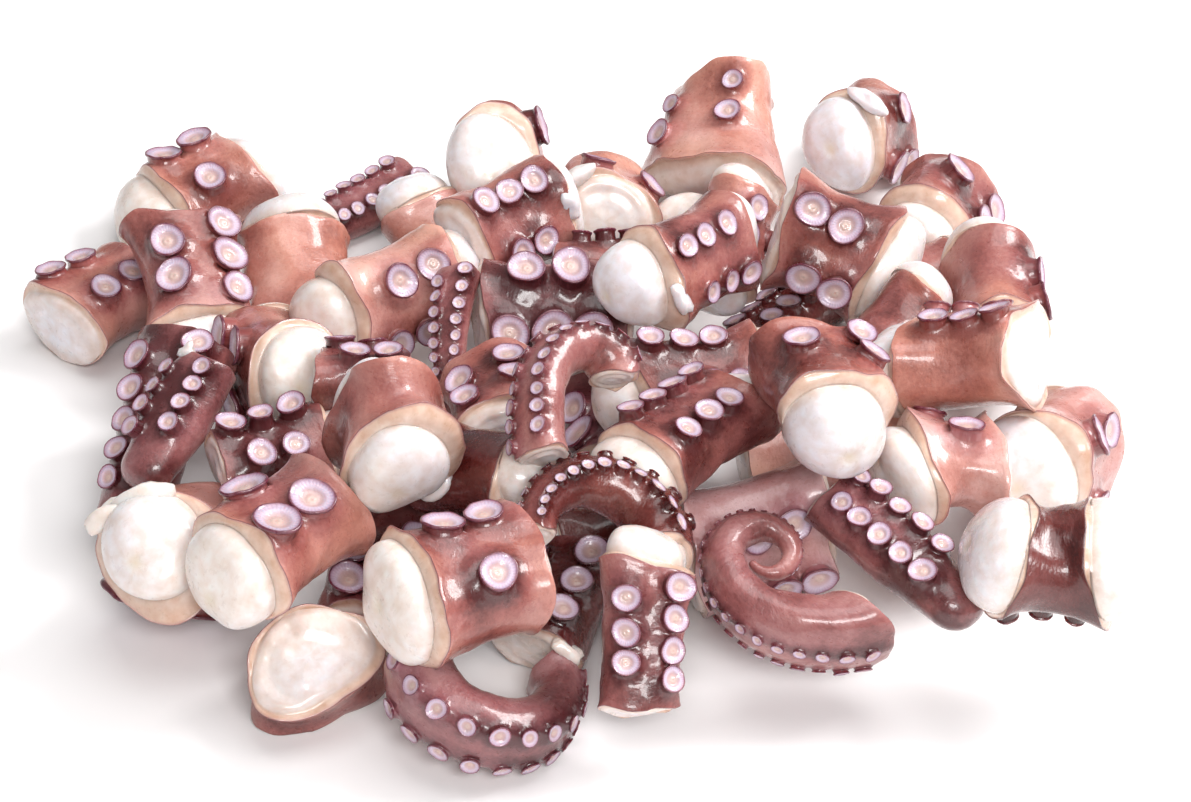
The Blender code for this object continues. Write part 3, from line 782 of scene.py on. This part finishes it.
length("c11", -74, 4, -16, 23, 31, sucker=0.29, core=0.86, back=0.08, bulge=(0.3, 0.46), flare=2.0)

# ---------------------------------------------------------------------------------------
# Paler lengths from high up the arms, cut at both ends like the ones before.
# The skin there has less pigment, so it boils to salmon; the flesh swells out just as far.
# ---------------------------------------------------------------------------------------
salmon = flesh_material("salmon_flesh", deep=(0.22, 0.065, 0.052), middle=(0.45, 0.192, 0.162),
                        pale=(0.62, 0.36, 0.32), rim=(0.12, 0.022, 0.040), gloss=0.26)
FINISH["salmon"] = (salmon, "salmon_arm")

length("a1", 38, 5, 5, 26, 30, tone="salmon", bulge=(0.46, 0.3))
length("b4", 33, 4, 70, 30, 31, sucker=0.30, first=4, side=-1, tone="salmon", flare=2.6, light=0.12,
       core=0.82)
length("c14", 62, -22, 80, 25, 35, sucker=0.28, tone="salmon", core=0.92, bulge=(0.36, 0.3),
       light=0.08, purple=0.3)

# ---------------------------------------------------------------------------------------
# Lengths with a flat cut at one or both ends.
# The muscle stayed level with the skin there, as clear flesh with faint rings round the
# nerve, in a thin collar.
# ---------------------------------------------------------------------------------------
FLAT_CORE = 0.90  # of the clear flesh over the breadth of the cut
FLAT_COLLAR = 0.8  # where the collar starts, inwards from the skin
FLAT_RISE = 0.1
LEAST_SWELL, MORE_SWELL, PLAIN_BULGE = 0.05, 0.5, 0.34  # more for a bulge past PLAIN_BULGE
FLAT_STEPS = 13
RING_TURNS, RING_HIGH = 16, 0.22  # how close together and how high the faint rings are
FLAT_SOFT, FLAT_SOFT_SIZE = 0.35, 9  # height and size of the soft unevenness


def flat_cut(cut, arm):
    """A cut that stayed flat: a thin collar, then clear flesh with faint rings."""
    cut.lip()
    centre = cut.middle + cut.away * arm.back * 0.5 * cut.width
    core = cut.round * FLAT_CORE * cut.uneven()
    start = cut.points + cut.inward * FLAT_COLLAR
    for share in (0.35, 0.7):
        cut.ring(start * (1 - share) + (centre + core) * share, FLAT_RISE, 0.9 + 0.3 * share)
    high = (LEAST_SWELL + MORE_SWELL * (arm.bulge[cut.which] - PLAIN_BULGE)) * cut.width
    seed = int(arm.phase[1] * 1e6)
    for e in np.linspace(0.12, math.pi / 2, FLAT_STEPS)[:-1]:
        reach = math.cos(e)
        where = centre + core * reach
        faint = RING_HIGH * math.sin(reach * RING_TURNS) * math.sin(2 * e)
        rise = FLAT_RISE + high * math.sin(e) ** 0.6 + faint
        soft = waves(where, FLAT_SOFT_SIZE, np.random.default_rng(seed))
        cut.ring(where, rise + FLAT_SOFT * soft * math.sin(2 * e), 1.62 + 0.36 * math.sin(e) ** 3)
    cut.close(centre, high + FLAT_RISE, 1.98)


CUTS["flat"] = flat_cut

length("a7", 80, 28, -24, 31, 45, near="flat", taper=0.66, sucker=0.19, first=5.5, spread=1.28,
       tone="salmon", flare=2.6, bulge=(0.62, 0.14), light=0.06)
length("a4", 125, 20, 180, 24, 26, near="flat", tone="salmon", bulge=(0.46, 0.42))
length("a6", 90, -22, 26, 22, 30, near="flat", tone="salmon", bulge=(0.40, 0.3),
       shreds=((0, 60, 9),))
length("a5", 35, 5, 50, 27, 28, near="flat", sucker=0.27, stalk=0.6, bulge=(0.45, 0.25),
       shreds=((1, -10, 7),))
length("b6b", 10, 0, -60, 26, 18, near="flat", far="flat", light=-0.06, stalk=0.8)
length("b1", 48, 0, 0, 26, 29, near="flat", sucker=0.30, bulge=(0.42, 0.3), light=0.12, stalk=0.6)
length("b3", 100, 22, 180, 32, 30, near="flat", tone="salmon", bulge=(0.4, 0.34))
length("b8", -18, -16, 62, 26, 32, near="flat", sucker=0.29, back=0.07, light=0.04, stalk=0.45)
length("b6", 5, 0, 38, 38, 29, near="flat", far="flat", sucker=0.36, side=-1, stalk=1.0, purple=0.5,
       light=-0.08)
length("b2", -75, -26, -12, 33, 29, near="flat", sucker=0.34, stalk=0.42, light=0.05,
       bulge=(0.3, 0.3), flare=2.2)
length("c5b", 0, 0, -25, 22, 22, near="flat", far="flat", sucker=0.36, light=-0.08, stalk=0.8)
length("c6", 100, -8, -15, 28, 25, near="flat", bulge=(0.55, 0.3), light=-0.04)
length("c8", 100, 0, -20, 28, 26, near="flat", sucker=0.40, purple=0.7)
length("c12", 12, 0, 180, 42, 25, near="flat", tone="salmon", light=0.14)
length("b12", -14, 16, -30, 30, 32, far="flat", sucker=0.24, tone="salmon", light=0.02, flare=2.4)
length("c1", -105, -10, 6, 50, 26, near="flat", far="flat", taper=0.7, curl=25, sucker=0.33,
       purple=0.5, light=-0.10, stalk=0.7)
length("c4", 25, 0, 10, 26, 21, near="flat", sucker=0.36, stalk=0.95, purple=0.3, light=-0.04)
length("d3", 85, 10, 12, 32, 27, near="flat", far="flat", sucker=0.36, light=-0.10, purple=0.4)
length("d12", 20, 5, 82, 35, 33, near="flat", far="flat", sucker=0.27, tone="salmon", light=0.10,
       purple=0.6)
length("c13", 10, -8, -28, 19, 31, far="flat", waist=0.18, sucker=0.30, tone="salmon", core=0.88,
       bulge=(0.32, 0.4), flare=2.6, light=0.10, purple=0.3, stalk=0.6)
length("d1", -108, 34, 170, 29, 34, near="flat", core=0.80, back=0.07, bulge=(0.3, 0.34), flare=2.4,
       light=0.14, shreds=((1, 150, 12), (1, 110, 10)))
length("d7", -90, 62, -150, 14, 31, near="flat", far="flat", bare=True, flare=2.4, light=-0.05)
length("d2", 50, 0, -8, 29, 31, far="flat", sucker=0.36, first=-0.4, side=-1, light=0.10, core=0.90,
       stalk=0.45)
length("d11", -95, -45, -15, 33, 22, far="flat", taper=0.85, sucker=0.33, purple=0.4, light=-0.04,
       stalk=0.7, core=0.84, bulge=(0.45, 0.3))
length("d6", 30, -6, 8, 28, 33, far="flat", sucker=0.31, first=4, core=0.88, back=0.06,
       bulge=(0.28, 0.4), flare=2.2)

# ---------------------------------------------------------------------------------------
# Thin ends of arms.
# The skin closes over the end like a fingertip, and the small suckers stand close.
# ---------------------------------------------------------------------------------------
TIP_RINGS = 11
TIP_LONG = 0.48  # of the rounded end over the width where it starts


def closed_tip(cut, arm):
    """Skin drawn together over the end of the arm."""
    for e in np.linspace(0, math.pi / 2, TIP_RINGS)[1:-1]:
        cut.ring(cut.middle + cut.spokes * math.cos(e) ** 0.9, cut.width * TIP_LONG * math.sin(e),
                 0.0, cut.near * math.cos(e) ** 2)
    cut.close(cut.middle, cut.width * TIP_LONG, 0.0)


CUTS["tip"] = closed_tip

length("a2", -137, 0, -8, 52, 18, near="flat", far="tip", taper=0.6, sucker=0.31, purple=0.5,
       stalk=0.7)
length("b5", -100, -15, 12, 36, 12, near="flat", far="tip", taper=0.6, curl=50, sucker=0.34,
       purple=0.6, stalk=0.7)
length("c2", -119, -24, 12, 29, 17, near="flat", far="tip", taper=1.1, sucker=0.30, purple=0.7,
       stalk=0.9, light=-0.06, shreds=((0, -40, 7),))
length("d14", -47, -10, 0, 41, 16, near="flat", far="tip", taper=1.2, sucker=0.36, light=-0.10,
       purple=0.5, stalk=0.75)

# ---------------------------------------------------------------------------------------
# Curled lengths: a hook, a curl at the front, and the spiral of a whole arm end.
# The thin part of an arm rolls up in the pot with its suckers on the outside.
# ---------------------------------------------------------------------------------------
# The hook, the curl at the front that is open at the top, and the spiral.
length("c7", 100, 30, -66, 50, 15.5, near="flat", far="flat", taper=0.85, waist=0.0, curl=190,
       tighten=0.8, sucker=0.27, twist=-26, light=0.04, purple=0.3, stalk=0.6)
length("d8", -85, 0, 72, 60, 20.5, near="flat", far="flat", taper=0.7, waist=0.0, curl=200,
       sucker=0.28, purple=0.7, stalk=0.5, light=0.02)
length("d13", 200, 0, -110, 82, 22.5, near="flat", far="tip", taper=0.15, waist=0.0, curl=430,
       tighten=0.67, slant=(-35, 0), sucker=0.19, twist=22, purple=0.5, stalk=0.55, flare=1.0)

# ---------------------------------------------------------------------------------------
# Wine-dark lengths, some curled, some cut.
# Here the skin kept nearly all of its pigment and boiled to a deep, glossy red brown; on b9 the wine is
# painted shade.
# ---------------------------------------------------------------------------------------
wine = flesh_material("wine_flesh", deep=(0.030, 0.003, 0.003), middle=(0.090, 0.013, 0.011),
                      pale=(0.20, 0.060, 0.056), rim=(0.045, 0.007, 0.014), gloss=0.18)
FINISH["wine"] = (wine, "wine_arm")

# b9 is a mauve length that lies in shadow: its wine skin is painted shade.
length("b9", -128, 0, 20, 38, 20, far="flat", taper=0.85, sucker=0.38, tone="wine", light=0.10,
       stalk=0.8)
length("d10", 20, 0, 180, 28, 20, tone="wine")
length("d4", -35, 20, 180, 26, 25, near="flat", tone="wine", bulge=(0.4, 0.4))
length("d9", -112, -12, 8, 29, 25, near="flat", far="flat", tone="wine", light=0.06, purple=0.5,
       shreds=((1, 60, 7),))
length("d5", 92, 25, 110, 50, 20, far="flat", taper=0.55, waist=0.0, curl=180, sucker=0.24,
       twist=52, tone="wine", light=0.14, stalk=0.6)
length("d15", -5, 0, 192, 20, 30, waist=0.12, slant=(-20, 20), sucker=0.18, tone="wine", core=0.96,
       back=0.01, bulge=(0.38, 0.38), flare=1.5, stalk=0.6)

# ---------------------------------------------------------------------------------------
# The white table that the heap lies on, in a plain studio.
# A soft light stands high at the right, a wide one hangs above, and one fills in the front.
# ---------------------------------------------------------------------------------------
TABLE = 6.0  # half of its side
table_mesh = bpy.data.meshes.new("table")
corners = [(-TABLE, -TABLE, 0), (TABLE, -TABLE, 0), (TABLE, TABLE, 0), (-TABLE, TABLE, 0)]
table_mesh.from_pydata(corners, [], [(0, 1, 2, 3)])
table = bpy.data.objects.new("table", table_mesh)
bpy.context.scene.collection.objects.link(table)
white_top = bpy.data.materials.new("white_table")
white_top.use_nodes = True
surface = white_top.node_tree.nodes["Principled BSDF"]
surface.inputs["Base Color"].default_value = (0.93, 0.91, 0.91, 1)
surface.inputs["Roughness"].default_value = 0.6
table_mesh.materials.append(white_top)

world = bpy.data.worlds.new("studio")
world.use_nodes = True
room = world.node_tree.nodes["Background"]
room.inputs["Color"].default_value = (1.0, 1.0, 1.0, 1)
room.inputs["Strength"].default_value = 0.26
bpy.context.scene.world = world
bpy.context.scene.view_settings.view_transform = "Standard"


def soft_light(name, place, size, power):
    """A rectangular lamp at a place in metres that shines at the middle of the heap."""
    light = bpy.data.lights.new(name, "AREA")
    light.shape = "RECTANGLE"
    light.size, light.size_y = size
    light.energy = power
    made = bpy.data.objects.new(name, light)
    made.location = place
    made.rotation_euler = (-Vector(place)).to_track_quat("-Z", "Y").to_euler()
    bpy.context.scene.collection.objects.link(made)


soft_light("key_light", (0.85, 0.22, 0.90), (0.50, 0.45), 14.8)
soft_light("top_light", (0.20, 0.10, 1.30), (0.90, 0.90), 8.0)
soft_light("front_light", (0.20, -1.0, 0.9), (0.6, 0.3), 12.0)

# ---------------------------------------------------------------------------------------
# The camera looks down on the heap from the front.
# Its long lens shows the far lengths nearly as large as the near ones.
# ---------------------------------------------------------------------------------------
LENS, SENSOR = 100.0, 36.0  # mm
DISTANCE = 0.864  # from the spot that it looks at
LOOK_DOWN = math.radians(38)
LOOK_AT = Vector((0.01064, -0.00569, 0.01480))
camera_data = bpy.data.cameras.new("camera")
camera_data.lens = LENS
camera_data.sensor_width = SENSOR
camera = bpy.data.objects.new("camera", camera_data)
back = Vector((0, -math.cos(LOOK_DOWN), math.sin(LOOK_DOWN)))
camera.location = LOOK_AT + back * DISTANCE
camera.rotation_euler = (math.radians(90) - LOOK_DOWN, 0, 0)
bpy.context.scene.collection.objects.link(camera)
bpy.context.scene.camera = camera
